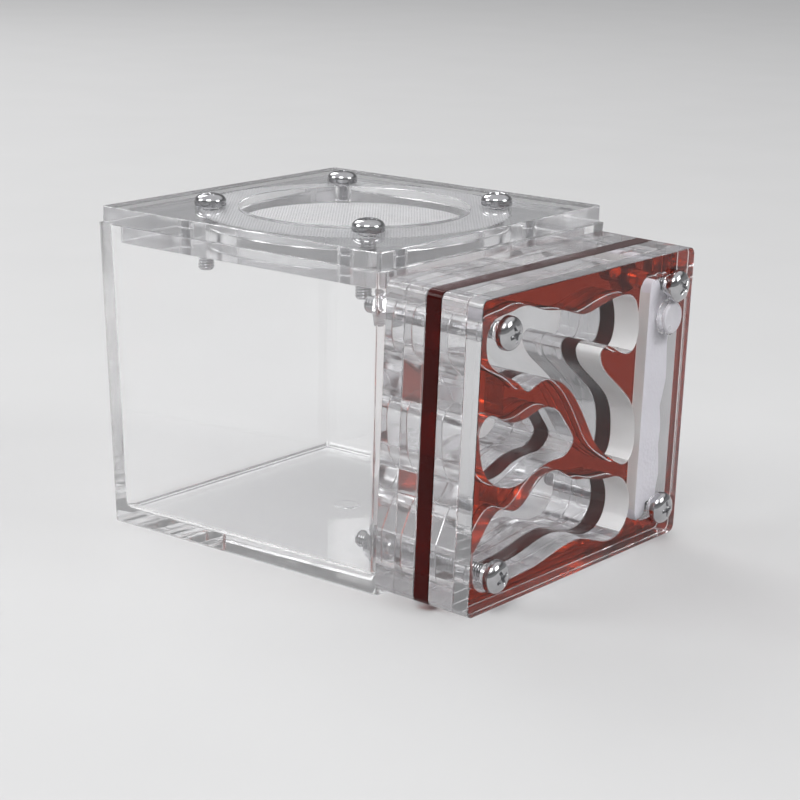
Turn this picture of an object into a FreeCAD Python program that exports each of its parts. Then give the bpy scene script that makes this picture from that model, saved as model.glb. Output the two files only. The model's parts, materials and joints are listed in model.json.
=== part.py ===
import FreeCAD, Part
import os
import re
import Sketcher

# Ant habitat: a clear moulded foraging box with a lift-off vented lid, and a
# nest block of five clamped plates bolted to the box's front wall.
#
# Frame, in millimetres: the origin is the centre of the box's rest face, +Z is
# up, +X is the habitat's width, and the nest block faces -Y.
# The box walls lean by the mould's draft. The nest block lies flat on the
# drafted front wall, so the whole block leans with it.

# ---------------------------------------------------------------- dimensions
# alias, value in millimetres or degrees, what it is
SIZES = [
    ("box_width", 63.6, "outside width of the box at its rim, along X"),
    ("box_length", 65.0, "outside length of the box at its rim, along Y"),
    ("box_height", 55.0, "rest face to rim"),
    ("box_draft", 1.65, "lean of each moulded wall, in degrees"),
    ("box_wall", 2.2, "thickness of the moulded walls, square to their faces"),
    ("box_floor", 2.6, "thickness of the moulded floor"),
    ("box_corner_radius", 1.2, "outer radius of the upright corners"),
    ("box_inner_radius", 0.6, "radius of the upright corners inside"),
    ("box_floor_radius", 1.4, "radius where the floor meets the walls inside"),
    ("box_base_radius", 0.5, "radius round the rest face"),
    ("gate_mark_diameter", 4.4, "round gate mark in the middle of the floor"),
    ("gate_mark_height", 0.2, "how far the gate mark stands proud"),
    ("passage_diameter", 8.0, "way from the box into the lowest gallery"),
    ("passage_offset", 4.0, "passage centre from the habitat's middle plane"),
    ("passage_rise", 9.8, "passage centre above the foot of the nest block"),
    ("air_film", 0.05, "thin film of air between faces that are clamped or rest"),
    ("lid_step_x", 0.3, "lid plate inside the box's rim, each end along X"),
    ("lid_step_y", 1.0, "lid plate inside the box's rim, each end along Y"),
    ("lid_thickness", 3.0, "lid plate, acrylic sheet"),
    ("lid_corner_radius", 0.7, "upright corners of the lid plate"),
    ("inner_plate_thickness", 3.0, "locating plate under the lid, acrylic sheet"),
    ("inner_plate_clearance", 0.6, "gap between the locating plate and the box walls"),
    ("inner_plate_radius", 2.2, "upright corners of the locating plate"),
    ("mesh_margin", 0.9, "edge of the locating plate to the edge of the mesh"),
    ("mesh_screw_margin", 2.5, "edge of the mesh to the lid screws' centres"),
    ("vent_screw_margin", 5.0, "lid screws' centres to the edge of the vent"),
    ("mesh_thickness", 0.3, "vent mesh"),
    ("mesh_bar_width", 0.6, "bars of the mesh, across"),
    ("mesh_bar_pitch", 5.0, "from one bar of the mesh to the next"),
    ("lid_screw_reach", 4.85, "lid screw's length below the locating plate"),
    ("nest_step", 0.8, "nest plates inside the box's rim, each side"),
    ("nest_drop", 1.2, "top of the nest plates below the box's rim, along the wall"),
    ("nest_corner_radius", 1.4, "corners of the nest plates"),
    ("nest_lift", 1.4, "foot of the nest block above the rest face"),
    ("back_plate_thickness", 4.0, "nest plate against the box wall"),
    ("rear_gallery_thickness", 4.0, "second nest plate"),
    ("red_plate_thickness", 3.0, "tinted nest plate"),
    ("front_gallery_thickness", 5.0, "nest plate behind the cover"),
    ("cover_thickness", 3.0, "front cover"),
    ("gallery_margin", 2.8, "wall left between the galleries and the plate edges"),
    ("link_width", 5.0, "slots that join the three galleries"),
    ("slot_width", 9.5, "sponge slot across"),
    ("slot_margin", 2.0, "wall left between the sponge slot and the plate edge"),
    ("slot_web", 2.0, "wall left between the sponge slot and the galleries"),
    ("slot_foot", 3.9, "sponge slot, lower end above the plate's foot"),
    ("slot_top_margin", 4.6, "sponge slot, upper end below the plate's top"),
    ("slot_corner_radius", 2.6, "corners of the sponge slot"),
    ("sponge_width", 7.7, "sponge across, at its widest"),
    ("sponge_bite", 1.5, "depth of the hollow in the sponge's hand-cut side"),
    ("sponge_clearance", 0.12, "gap between the sponge and what is round it"),
    ("port_gap", 0.1, "gap between the plug and the screw head above it"),
    ("plug_diameter", 5.7, "silicone plug in the watering port"),
    ("plug_clearance", 0.08, "radial gap between the plug and its port"),
    ("plug_proud", 0.5, "how far the plug stands out of the cover"),
    ("plug_edge_bevel", 0.4, "bevelled outer edge of the plug"),
    ("screw_diameter", 2.9, "M3 thread over its crests"),
    ("screw_clearance", 0.15, "radial gap where a screw runs through a plate"),
    ("screw_head_diameter", 5.6, "pan head"),
    ("screw_head_height", 2.2, "pan head"),
    ("screw_head_rim", 0.9, "straight side of the pan head"),
    ("screw_head_crown", 3.8, "flat on top of the pan head"),
    ("nest_screw_reach", 3.1, "nest screw's length past its nut"),
    ("nut_across_flats", 5.5, "M3 hexagon nut"),
    ("nut_height", 2.4, "M3 hexagon nut"),
    ("nut_floor_gap", 0.22, "gap between the low nuts and the floor's round"),
    ("thread_clearance", 0.05, "radial gap where a screw runs in a thread"),
]

# The stack of nest plates, from the box wall outwards: label and thickness.
STACK = [
    ("nest_back_plate", "back_plate_thickness"),
    ("nest_rear_gallery_plate", "rear_gallery_thickness"),
    ("nest_red_plate", "red_plate_thickness"),
    ("nest_front_gallery_plate", "front_gallery_thickness"),
    ("nest_cover", "cover_thickness"),
]

# The galleries are closed smooth curves. Each point is given as a place in the
# gallery field, in thousandths: 0 to 1000 from the left margin to the web beside
# the sponge slot, and 0 to 1000 from the lower margin to the upper one.
UPPER_GALLERY = [
    (15, 905), (50, 970), (130, 980), (234, 994), (330, 965), (486, 936), (606, 904),
    (700, 915), (847, 936), (930, 915), (967, 848), (976, 780), (950, 720), (890, 713),
    (825, 741), (765, 762), (728, 745), (735, 705), (781, 654), (902, 564), (974, 485),
    (1000, 368), (985, 300), (940, 282), (869, 308), (740, 395), (639, 530), (547, 632),
    (490, 673), (400, 701), (320, 697), (276, 684), (241, 703), (180, 743), (79, 791),
    (32, 830),
]
MIDDLE_GALLERY = [
    (0, 575), (14, 500), (57, 417), (140, 368), (245, 353), (409, 395), (545, 409),
    (578, 440), (540, 504), (470, 575), (387, 605), (234, 581), (81, 637), (20, 622),
]
LOWER_GALLERY = [
    (4, 165), (88, 252), (145, 284), (225, 258), (275, 268), (354, 321), (475, 357),
    (600, 292), (694, 278), (792, 252), (880, 246), (960, 200), (996, 100), (960, 22),
    (858, 0), (670, 53), (519, 45), (354, 15), (179, 6), (48, 9), (8, 40), (0, 100),
]
GALLERIES = [UPPER_GALLERY, MIDDLE_GALLERY, LOWER_GALLERY]
# How far the arcs that a gallery is cut with may stray from its smooth curve.
ARC_TOLERANCE = 0.1
# Upright slots in the rear gallery plate that join one gallery to the next:
# centre across the field, lower end and upper end, in the same thousandths.
LINKS = [(186, 237, 421), (186, 560, 808)]
FIELD = 1000

# The sponge's hand-cut side between its two screws: how far up, as a share of
# that stretch, and how deep it is cut in, as a share of the bite.
SPONGE_SIDE = [
    (0.05, 0.5), (0.1, 0.15), (0.18, 0.35), (0.25, 0.67), (0.32, 0.43), (0.385, 0.6), (0.445, 1.0),
    (0.5, 0.45), (0.57, 0.0), (0.66, 0.17), (0.77, 0.3), (0.9, 0.3),
]

# ------------------------------------------------------- expressions and sheet


def expression(text):
    """Turns a formula of size names into one that reads the spreadsheet."""
    return re.sub(r"[a-z]+(?:_[a-z]+)+", lambda word: "sizes." + word.group(0), text)


def bind(thing, prop, formula):
    """Binds a property to a formula of size names."""
    thing.setExpression(prop, expression(formula))


def value_of(formula):
    """The number that a formula of size names has now."""
    return float(FreeCAD.ActiveDocument.sizes.evalExpression(formula))


def make_sheet(doc):
    """Writes the driving dimensions into a spreadsheet, one row each."""
    sheet = doc.addObject("Spreadsheet::Sheet", "sizes")
    for row, (alias, value, note) in enumerate(SIZES, start=1):
        sheet.set("A%d" % row, alias)
        sheet.set("B%d" % row, str(value))
        sheet.setAlias("B%d" % row, alias)
        sheet.set("C%d" % row, note)
    doc.recompute()


# How near two places count as one, when edges are picked out.
TINY = 1e-4

# Formulas that several pieces share.
INNER_RIM_WIDTH = "(box_width - 2 * box_wall / cos(box_draft))"
INNER_RIM_LENGTH = "(box_length - 2 * box_wall / cos(box_draft))"
LID_WIDTH = "(box_width - 2 * lid_step_x)"
LID_LENGTH = "(box_length - 2 * lid_step_y)"
LID_SEAT = "(box_height + air_film)"
MESH_SEAT = "(box_height - mesh_thickness)"
INNER_PLATE_SEAT = "(box_height - mesh_thickness - air_film - inner_plate_thickness)"
# The box narrows downwards, so the locating plate fits at its lower face.
INNER_PLATE_SHRINK = "(2 * inner_plate_clearance + 2 * (box_height - %s) * tan(box_draft))" % INNER_PLATE_SEAT
INNER_PLATE_WIDTH = "(%s - %s)" % (INNER_RIM_WIDTH, INNER_PLATE_SHRINK)
INNER_PLATE_LENGTH = "(%s - %s)" % (INNER_RIM_LENGTH, INNER_PLATE_SHRINK)
MESH_DIAMETER = "(%s - 2 * mesh_margin)" % INNER_PLATE_WIDTH
VENT_DIAMETER = "(%s - 2 * mesh_screw_margin - 2 * vent_screw_margin)" % MESH_DIAMETER
LID_SCREW_PLACE = "((%s / 2 - mesh_screw_margin) * cos(45))" % MESH_DIAMETER
LID_SCREW_LENGTH = "(%s + lid_thickness + air_film - %s + lid_screw_reach)" % (LID_SEAT, INNER_PLATE_SEAT)
THREAD_BORE = "(screw_diameter + 2 * thread_clearance)"
SCREW_HOLE = "(screw_diameter + 2 * screw_clearance)"
NUT_CORNER = "(nut_across_flats / (2 * cos(30)))"
NEST_WIDTH = "(box_width - 2 * nest_step)"
NEST_HEIGHT = "(box_height - nest_lift - nest_drop)"
BLOCK_ORIGIN_Y = "(-box_length / 2 + (box_height - nest_lift) * tan(box_draft))"
SCREW_LOW = "(box_floor + box_floor_radius + nut_floor_gap + %s - nest_lift)" % NUT_CORNER
SCREW_HIGH = "(%s - %s)" % (NEST_HEIGHT, SCREW_LOW)
# The box narrows downwards, so the low nuts settle how far out the screws can be.
NUT_FOOT_DEPTH = "(box_height - nest_lift - %s + nut_across_flats / 2)" % SCREW_LOW
SCREW_ACROSS = ("(%s / 2 - %s * tan(box_draft) - box_inner_radius - nut_across_flats / 2)"
                % (INNER_RIM_WIDTH, NUT_FOOT_DEPTH))
SLOT_RIGHT = "(%s / 2 - slot_margin)" % NEST_WIDTH
SLOT_LEFT = "(%s - slot_width)" % SLOT_RIGHT
SLOT_TOP = "(%s - slot_top_margin)" % NEST_HEIGHT
PORT_UP = "(%s - screw_head_diameter / 2 - port_gap - plug_diameter / 2)" % SCREW_HIGH
SPONGE_LEFT = "(%s + sponge_clearance)" % SLOT_LEFT
SPONGE_NECK = "(%s - screw_diameter / 2 - sponge_clearance)" % SCREW_ACROSS
FIELD_LEFT = "(gallery_margin - %s / 2)" % NEST_WIDTH
FIELD_WIDTH = "(%s - slot_web - %s)" % (SLOT_LEFT, FIELD_LEFT)
FIELD_HEIGHT = "(%s - 2 * gallery_margin)" % NEST_HEIGHT


def field_across(thousandths):
    return "(%s + %s / %s * %s)" % (FIELD_LEFT, thousandths, FIELD, FIELD_WIDTH)


def field_up(thousandths):
    return "(gallery_margin + %s / %s * %s)" % (thousandths, FIELD, FIELD_HEIGHT)


def stack_offset(plate):
    """How far a plate's back face stands off the box wall, as a formula.

    A name that isn't in the stack gives the seat in front of the whole stack.
    """
    terms = ["air_film"]
    for name, thickness in STACK:
        if name == plate:
            break
        terms += [thickness, "air_film"]
    return "(" + " + ".join(terms) + ")"


BLOCK_FACE = stack_offset("screw heads")
NEST_SCREW_LENGTH = "(%s + box_wall + air_film + nut_height + nest_screw_reach)" % BLOCK_FACE

# ------------------------------------------------------------ sketch helpers


def new_body(doc, label):
    body = doc.addObject("PartDesign::Body", label)
    body.Label = label
    return body


def new_sketch(body, plane_role, name, height=None):
    """Adds a sketch on one of the body's origin planes, raised by a formula."""
    sketch = body.newObject("Sketcher::SketchObject", name)
    plane = [item for item in body.Origin.OriginFeatures if item.Role == plane_role][0]
    sketch.AttachmentSupport = [(plane, "")]
    sketch.MapMode = "FlatFace"
    if height:
        bind(sketch, ".AttachmentOffset.Base.z", height)
    return sketch


def constrain(sketch, formula, kind, *where):
    """Adds a dimension to a sketch and binds it to a formula."""
    index = sketch.addConstraint(Sketcher.Constraint(kind, *where, value_of(formula)))
    bind(sketch, "Constraints[%d]" % index, formula)


def pin_point(sketch, edge, end, x, y):
    """Holds a point of a sketch at two formulas, from the sketch's origin."""
    constrain(sketch, x, "DistanceX", -1, 1, edge, end)
    constrain(sketch, y, "DistanceY", -1, 1, edge, end)


def at(x, y):
    """The place that two formulas have now."""
    return FreeCAD.Vector(value_of(x), value_of(y), 0)


def add_polygon(sketch, corners):
    """Draws a closed polygon whose corners are pairs of formulas."""
    count = len(corners)
    first = sketch.GeometryCount
    for index in range(count):
        after = corners[(index + 1) % count]
        sketch.addGeometry(Part.LineSegment(at(*corners[index]), at(*after)), False)
    for index in range(count):
        after = first + (index + 1) % count
        sketch.addConstraint(Sketcher.Constraint("Coincident", first + index, 2, after, 1))
        pin_point(sketch, first + index, 1, *corners[index])


def add_rectangle(sketch, left, right, low, high):
    add_polygon(sketch, [(left, low), (right, low), (right, high), (left, high)])


def add_centred_rectangle(sketch, width, length):
    add_rectangle(sketch, "-%s / 2" % width, "%s / 2" % width, "-%s / 2" % length, "%s / 2" % length)


def add_circle(sketch, x, y, diameter):
    """Draws a circle whose centre and diameter are formulas."""
    up = FreeCAD.Vector(0, 0, 1)
    edge = sketch.addGeometry(Part.Circle(at(x, y), up, value_of(diameter) / 2), False)
    pin_point(sketch, edge, 3, x, y)
    constrain(sketch, diameter, "Diameter", edge)


def add_smooth_loop(sketch, points):
    """Draws a closed smooth curve through points, as a chain of tangent arcs."""
    curve = Part.BSplineCurve()
    curve.interpolate(Points=points, PeriodicFlag=True)
    for arc in curve.toBiArcs(ARC_TOLERANCE):
        sketch.addGeometry(arc, False)


def pad(body, sketch, name, length):
    feature = body.newObject("PartDesign::Pad", name)
    feature.Profile = sketch
    bind(feature, "Length", length)
    return feature


def pocket(body, sketch, name, depth=None, reverse=False):
    """Cuts a sketch's outline out of a body, right through without a depth."""
    feature = body.newObject("PartDesign::Pocket", name)
    feature.Profile = sketch
    feature.Reversed = reverse
    if depth is None:
        feature.Type = "ThroughAll"
    else:
        bind(feature, "Length", depth)
    return feature


def revolve(body, sketch, name):
    """Turns a sketch once round its own upright axis."""
    feature = body.newObject("PartDesign::Revolution", name)
    feature.Profile = sketch
    feature.ReferenceAxis = (sketch, ["V_Axis"])
    feature.Angle = 360


def dress(body, kind, base, name, prop, size, choose):
    """Rounds or bevels the edges of a feature that a test picks out."""
    FreeCAD.ActiveDocument.recompute()
    edges = enumerate(base.Shape.Edges, start=1)
    names = ["Edge%d" % number for number, edge in edges if choose(edge)]
    feature = body.newObject(kind, name)
    feature.Base = (base, names)
    bind(feature, prop, size)
    return feature


def fillet(body, base, name, radius, choose):
    return dress(body, "PartDesign::Fillet", base, name, "Radius", radius, choose)


def chamfer(body, base, name, size, choose):
    return dress(body, "PartDesign::Chamfer", base, name, "Size", size, choose)


def runs_along(edge, axis):
    """Whether an edge runs along an axis, but for the draft of two walls."""
    if len(edge.Vertexes) < 2:
        return False
    chord = edge.Vertexes[1].Point - edge.Vertexes[0].Point
    return abs(chord.dot(axis)) > value_of("cos(2 * box_draft)") * edge.Length


def runs_up(edge):
    return runs_along(edge, FreeCAD.Vector(0, 0, 1))


def runs_through(edge):
    """Whether an edge runs through a nest plate, which stands on its foot."""
    return runs_along(edge, FreeCAD.Vector(0, 1, 0))


def raise_by(piece, height):
    bind(piece, ".Placement.Base.z", height)


def place_on_block(piece, across, outward, up, turn="0"):
    """Places a piece by formulas in the leaning frame of the nest block.

    across runs along +X, outward away from the box wall and up along the wall.
    turn is added to the block's own lean about X.
    """
    # Any turn about X makes X the axis, and the expression then sets the angle.
    about_x = FreeCAD.Rotation(FreeCAD.Vector(1, 0, 0), 30)
    piece.Placement = FreeCAD.Placement(FreeCAD.Vector(), about_x)
    bind(piece, ".Placement.Rotation.Angle", "box_draft + " + turn)
    bind(piece, ".Placement.Base.x", across)
    bind(piece, ".Placement.Base.y", "%s - %s * cos(box_draft) - %s * sin(box_draft)"
         % (BLOCK_ORIGIN_Y, outward, up))
    bind(piece, ".Placement.Base.z", "nest_lift - %s * sin(box_draft) + %s * cos(box_draft)"
         % (outward, up))


SCREW_PLACES = [
    (sign + SCREW_ACROSS, up) for up in (SCREW_LOW, SCREW_HIGH) for sign in ("-", "")
]
LID_SCREW_PLACES = [
    (x + LID_SCREW_PLACE, y + LID_SCREW_PLACE) for y in ("-", "") for x in ("-", "")
]

# --------------------------------------------------------------- foraging box


def make_foraging_box(doc):
    """An open moulded box: drafted outside, drafted core, rounded corners."""
    body = new_body(doc, "foraging_box")
    outline = new_sketch(body, "XY_Plane", "box_outline")
    add_centred_rectangle(outline, "box_width", "box_length")
    block = pad(body, outline, "box_block", "box_height")
    outside = draft(body, block, "box_outside", reverse=True)
    corners = fillet(body, outside, "box_corners", "box_corner_radius", runs_up)
    fillet(body, corners, "box_base", "box_base_radius", lambda edge: edge.BoundBox.ZMax < TINY)

    rim = new_sketch(body, "XY_Plane", "box_rim", "box_height")
    add_centred_rectangle(rim, INNER_RIM_WIDTH, INNER_RIM_LENGTH)
    hollow = pocket(body, rim, "box_hollow", "box_height - box_floor")
    inside = draft(body, hollow, "box_inside", reverse=False)
    core = fillet(body, inside, "box_inner_corners", "box_inner_radius", is_inner_corner)
    fillet(body, core, "box_floor_round", "box_floor_radius", is_floor_edge)

    mark = new_sketch(body, "XY_Plane", "gate_mark", "box_floor")
    add_circle(mark, "0", "0", "gate_mark_diameter")
    pad(body, mark, "gate_mark_disc", "gate_mark_height")

    front = new_sketch(body, "XZ_Plane", "front_wall_holes", "-" + BLOCK_ORIGIN_Y)
    about_x = FreeCAD.Rotation(FreeCAD.Vector(1, 0, 0), 30)
    front.AttachmentOffset = FreeCAD.Placement(FreeCAD.Vector(), about_x)
    bind(front, ".AttachmentOffset.Rotation.Angle", "box_draft")
    bind(front, ".AttachmentOffset.Base.y", "nest_lift")
    add_circle(front, "passage_offset", "passage_rise", "passage_diameter")
    for across, up in SCREW_PLACES:
        add_circle(front, across, up, SCREW_HOLE)
    pocket(body, front, "front_wall_passages", "2 * box_wall")
    return body


def draft(body, base, name, reverse):
    """Leans the upright faces by the mould's draft, with the rim kept as it is."""
    FreeCAD.ActiveDocument.recompute()
    faces = list(enumerate(base.Shape.Faces, start=1))
    rim = max(faces, key=lambda item: item[1].CenterOfMass.z)[0]
    feature = body.newObject("PartDesign::Draft", name)
    feature.Base = (base, ["Face%d" % number for number, face in faces if is_upright(face)])
    feature.NeutralPlane = (base, ["Face%d" % rim])
    feature.Reversed = reverse
    bind(feature, "Angle", "box_draft")
    return feature


def is_upright(face):
    """Whether a face is a flat one that stands upright."""
    return isinstance(face.Surface, Part.Plane) and abs(face.normalAt(0, 0).z) < TINY


def is_inner_corner(edge):
    """Whether an edge is an upright corner of the box's inside."""
    lean = value_of("(box_height - box_floor) / 2 * tan(box_draft)")
    middle = edge.CenterOfMass
    return (runs_up(edge)
            and abs(middle.x) < value_of("box_width / 2 - box_wall / 2") - lean
            and abs(middle.y) < value_of("box_length / 2 - box_wall / 2") - lean)


def is_floor_edge(edge):
    """Whether an edge lies in the floor's upper face."""
    box = edge.BoundBox
    floor = value_of("box_floor")
    return abs(box.ZMin - floor) < TINY and abs(box.ZMax - floor) < TINY


# ------------------------------------------------------------------------ lid


def make_lid_sheet(doc, label, width, length, thickness, radius, screw_bore):
    """A square sheet with the vent opening and four screw holes."""
    body = new_body(doc, label)
    outline = new_sketch(body, "XY_Plane", label + "_outline")
    add_centred_rectangle(outline, width, length)
    blank = pad(body, outline, label + "_blank", thickness)
    fillet(body, blank, label + "_corners", radius, runs_up)
    holes = new_sketch(body, "XY_Plane", label + "_holes")
    add_circle(holes, "0", "0", VENT_DIAMETER)
    for x, y in LID_SCREW_PLACES:
        add_circle(holes, x, y, screw_bore)
    pocket(body, holes, label + "_cuts", reverse=True)
    return body


def make_vent_mesh(doc):
    """A thin round with four screw holes, and a grid of bars across the vent."""
    body = new_body(doc, "vent_mesh")
    outline = new_sketch(body, "XY_Plane", "mesh_outline")
    add_circle(outline, "0", "0", MESH_DIAMETER)
    add_circle(outline, "0", "0", VENT_DIAMETER)
    for x, y in LID_SCREW_PLACES:
        add_circle(outline, x, y, SCREW_HOLE)
    pad(body, outline, "mesh_ring", "mesh_thickness")
    add_mesh_bars(body, "mesh_warp", lambda along, across: (along, across))
    add_mesh_bars(body, "mesh_weft", lambda along, across: (across, along))
    raise_by(body, MESH_SEAT)
    return body


def add_mesh_bars(body, name, turned):
    """Lays parallel bars across the vent, each sunk by its width into the ring."""
    sketch = new_sketch(body, "XY_Plane", name)
    count = int(value_of(VENT_DIAMETER + " / mesh_bar_pitch"))
    for number in range(count):
        middle = "(%s * mesh_bar_pitch)" % (number - (count - 1) / 2)
        end = "(sqrt((%s / 2) ^ 2 - %s ^ 2) + mesh_bar_width)" % (VENT_DIAMETER, middle)
        low = middle + " - mesh_bar_width / 2"
        high = middle + " + mesh_bar_width / 2"
        places = [("-" + end, low), (end, low), (end, high), ("-" + end, high)]
        add_polygon(sketch, [turned(*place) for place in places])
    pad(body, sketch, name + "_bars", "mesh_thickness")


def make_lid(doc):
    top = make_lid_sheet(doc, "lid_plate", LID_WIDTH, LID_LENGTH, "lid_thickness",
                         "lid_corner_radius", SCREW_HOLE)
    raise_by(top, LID_SEAT)
    inner = make_lid_sheet(doc, "lid_inner_plate", INNER_PLATE_WIDTH, INNER_PLATE_LENGTH,
                           "inner_plate_thickness", "inner_plate_radius", THREAD_BORE)
    raise_by(inner, INNER_PLATE_SEAT)
    pieces = [top, inner, make_vent_mesh(doc)]
    for number, (x, y) in enumerate(LID_SCREW_PLACES, start=1):
        screw = make_screw(doc, "lid_screw_%d" % number, LID_SCREW_LENGTH)
        bind(screw, ".Placement.Base.x", x)
        bind(screw, ".Placement.Base.y", y)
        raise_by(screw, LID_SEAT + " + lid_thickness + air_film")
        pieces.append(screw)
    return pieces


# ------------------------------------------------------------------ fasteners


def make_screw(doc, label, length):
    """A pan-head screw along Z, with the underside of its head at zero."""
    body = new_body(doc, label)
    half = new_sketch(body, "XZ_Plane", label + "_profile")
    add_polygon(half, [
        ("0", "-" + length),
        ("screw_diameter / 2", "-" + length),
        ("screw_diameter / 2", "0"),
        ("screw_head_diameter / 2", "0"),
        ("screw_head_diameter / 2", "screw_head_rim"),
        ("screw_head_crown / 2", "screw_head_height"),
        ("0", "screw_head_height"),
    ])
    revolve(body, half, label + "_turned")
    return body


def make_nut(doc, label):
    """A hexagon nut along Z, bored to its thread, with two flats upright."""
    body = new_body(doc, label)
    outline = new_sketch(body, "XY_Plane", label + "_outline")
    turns = ["(%d)" % (60 * step + 30) for step in range(6)]
    corners = [(NUT_CORNER + " * cos" + turn, NUT_CORNER + " * sin" + turn) for turn in turns]
    add_polygon(outline, corners)
    add_circle(outline, "0", "0", THREAD_BORE)
    pad(body, outline, label + "_blank", "nut_height")
    return body


def make_nest_fasteners(doc):
    """Four long screws through the block and the box wall, nuts inside."""
    pieces = []
    for number, (across, up) in enumerate(SCREW_PLACES, start=1):
        screw = make_screw(doc, "nest_screw_%d" % number, NEST_SCREW_LENGTH)
        place_on_block(screw, across, BLOCK_FACE, up, "90")
        nut = make_nut(doc, "nest_nut_%d" % number)
        place_on_block(nut, across, "(-box_wall - air_film - nut_height)", up, "90")
        pieces += [screw, nut]
    return pieces


# ----------------------------------------------------------------- nest block


def make_nest_plate(doc, label, thickness):
    """A rounded sheet that stands on its foot, with the four screw holes."""
    body = new_body(doc, label)
    outline = new_sketch(body, "XZ_Plane", label + "_outline")
    add_rectangle(outline, "-%s / 2" % NEST_WIDTH, "%s / 2" % NEST_WIDTH, "0", NEST_HEIGHT)
    blank = pad(body, outline, label + "_blank", thickness)
    fillet(body, blank, label + "_corners", "nest_corner_radius", runs_through)
    holes = new_sketch(body, "XZ_Plane", label + "_holes")
    for across, up in SCREW_PLACES:
        add_circle(holes, across, up, SCREW_HOLE)
    pocket(body, holes, label + "_drilled", reverse=True)
    place_on_block(body, "0", stack_offset(label), "0")
    return body


def cut_galleries(body):
    """Cuts the three galleries through a plate."""
    left = value_of(FIELD_LEFT)
    foot = value_of("gallery_margin")
    width = value_of(FIELD_WIDTH)
    height = value_of(FIELD_HEIGHT)
    sketch = new_sketch(body, "XZ_Plane", body.Label + "_galleries")
    for gallery in GALLERIES:
        points = [
            FreeCAD.Vector(left + across / FIELD * width, foot + up / FIELD * height, 0)
            for across, up in gallery
        ]
        add_smooth_loop(sketch, points)
    pocket(body, sketch, body.Label + "_routed", reverse=True)


def cut_links(body):
    """Cuts the upright slots that join the galleries to each other."""
    for number, (centre, low, high) in enumerate(LINKS, start=1):
        sketch = new_sketch(body, "XZ_Plane", "link_%d" % number)
        left = field_across(centre) + " - link_width / 2"
        right = field_across(centre) + " + link_width / 2"
        add_rectangle(sketch, left, right, field_up(low), field_up(high))
        pocket(body, sketch, "link_slot_%d" % number, reverse=True)


def cut_sponge_slot(body):
    """Cuts the round-cornered slot that holds the sponge."""
    sketch = new_sketch(body, "XZ_Plane", "sponge_slot")
    add_rectangle(sketch, SLOT_LEFT, SLOT_RIGHT, "slot_foot", SLOT_TOP)
    slot = pocket(body, sketch, "sponge_slot_cut", reverse=True)
    fillet(body, slot, "sponge_slot_corners", "slot_corner_radius", is_slot_corner)


def is_slot_corner(edge):
    """Whether an edge is a corner of the sponge slot, which is cut first."""
    middle = edge.CenterOfMass
    beside = value_of(SLOT_LEFT) - TINY < middle.x < value_of(SLOT_RIGHT) + TINY
    between = value_of("slot_foot") - TINY < middle.z < value_of(SLOT_TOP) + TINY
    return runs_through(edge) and beside and between and len(edge.Vertexes) == 2


def cut_watering_port(body):
    sketch = new_sketch(body, "XZ_Plane", "watering_port")
    add_circle(sketch, SCREW_ACROSS, PORT_UP, "plug_diameter + 2 * plug_clearance")
    pocket(body, sketch, "watering_port_drilled", reverse=True)


def make_nest_block(doc):
    """The five clamped plates, from the box wall outwards."""
    plates = {label: make_nest_plate(doc, label, thickness) for label, thickness in STACK}
    cut_sponge_slot(plates["nest_front_gallery_plate"])
    for label, plate in plates.items():
        if label != "nest_cover":
            cut_galleries(plate)
    cut_links(plates["nest_rear_gallery_plate"])
    cut_watering_port(plates["nest_cover"])
    return list(plates.values())


def make_hydration_sponge(doc):
    """A soft strip in the slot, cut narrower beside the two far screws."""
    body = new_body(doc, "hydration_sponge")
    left = value_of(SPONGE_LEFT)
    neck = value_of(SPONGE_NECK)
    full = left + value_of("sponge_width")
    foot = value_of("slot_foot + sponge_clearance")
    top = value_of(SLOT_TOP + " - sponge_clearance")
    low = value_of(SCREW_LOW + " + screw_diameter / 2 + sponge_clearance")
    high = value_of(SCREW_HIGH + " - screw_diameter / 2 - sponge_clearance")
    bite = value_of("sponge_bite")
    side = [
        FreeCAD.Vector(full - inward * bite, low + up * (high - low), 0)
        for up, inward in SPONGE_SIDE
    ]
    neck_low = FreeCAD.Vector(neck, low, 0)
    neck_high = FreeCAD.Vector(neck, high, 0)
    cut_side = Part.BSplineCurve()
    cut_side.interpolate([neck_low] + side + [neck_high])
    ends = [neck_high, (neck, top), (left, top), (left, foot), (neck, foot), neck_low]
    ends = [FreeCAD.Vector(end[0], end[1], 0) for end in ends]
    outline = new_sketch(body, "XZ_Plane", "sponge_outline")
    outline.addGeometry(cut_side, False)
    for start, end in zip(ends, ends[1:]):
        outline.addGeometry(Part.LineSegment(start, end), False)
    strip = pad(body, outline, "sponge_strip", "front_gallery_thickness - 2 * sponge_clearance")
    # The rounds can't be larger than the narrow ends of the strip.
    corner = "min(slot_corner_radius - sponge_clearance; 0.9 * (%s - %s))" % (SPONGE_NECK, SPONGE_LEFT)
    fillet(body, strip, "sponge_corners", corner,
           lambda edge: runs_through(edge) and edge.CenterOfMass.x < left + TINY)
    seat = "(%s + sponge_clearance)" % stack_offset("nest_front_gallery_plate")
    place_on_block(body, "0", seat, "0")
    return body


def make_hydration_plug(doc):
    """A silicone plug along Z, from the cover's back face outwards."""
    body = new_body(doc, "hydration_plug")
    outline = new_sketch(body, "XY_Plane", "plug_outline")
    add_circle(outline, "0", "0", "plug_diameter")
    length = "(cover_thickness + plug_proud)"
    plain = pad(body, outline, "plug_blank", length)
    chamfer(body, plain, "plug_edge", "plug_edge_bevel",
            lambda edge: edge.BoundBox.ZMin > value_of(length) - TINY)
    place_on_block(body, SCREW_ACROSS, stack_offset("nest_cover"), PORT_UP, "90")
    return body


# -------------------------------------------------------------- build and write


def check_document(doc):
    """Stops on any object that failed to build."""
    for item in doc.Objects:
        for state in item.State:
            if "Invalid" in state or "Error" in state:
                raise RuntimeError("%s did not build: %s" % (item.Label, state))


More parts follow.
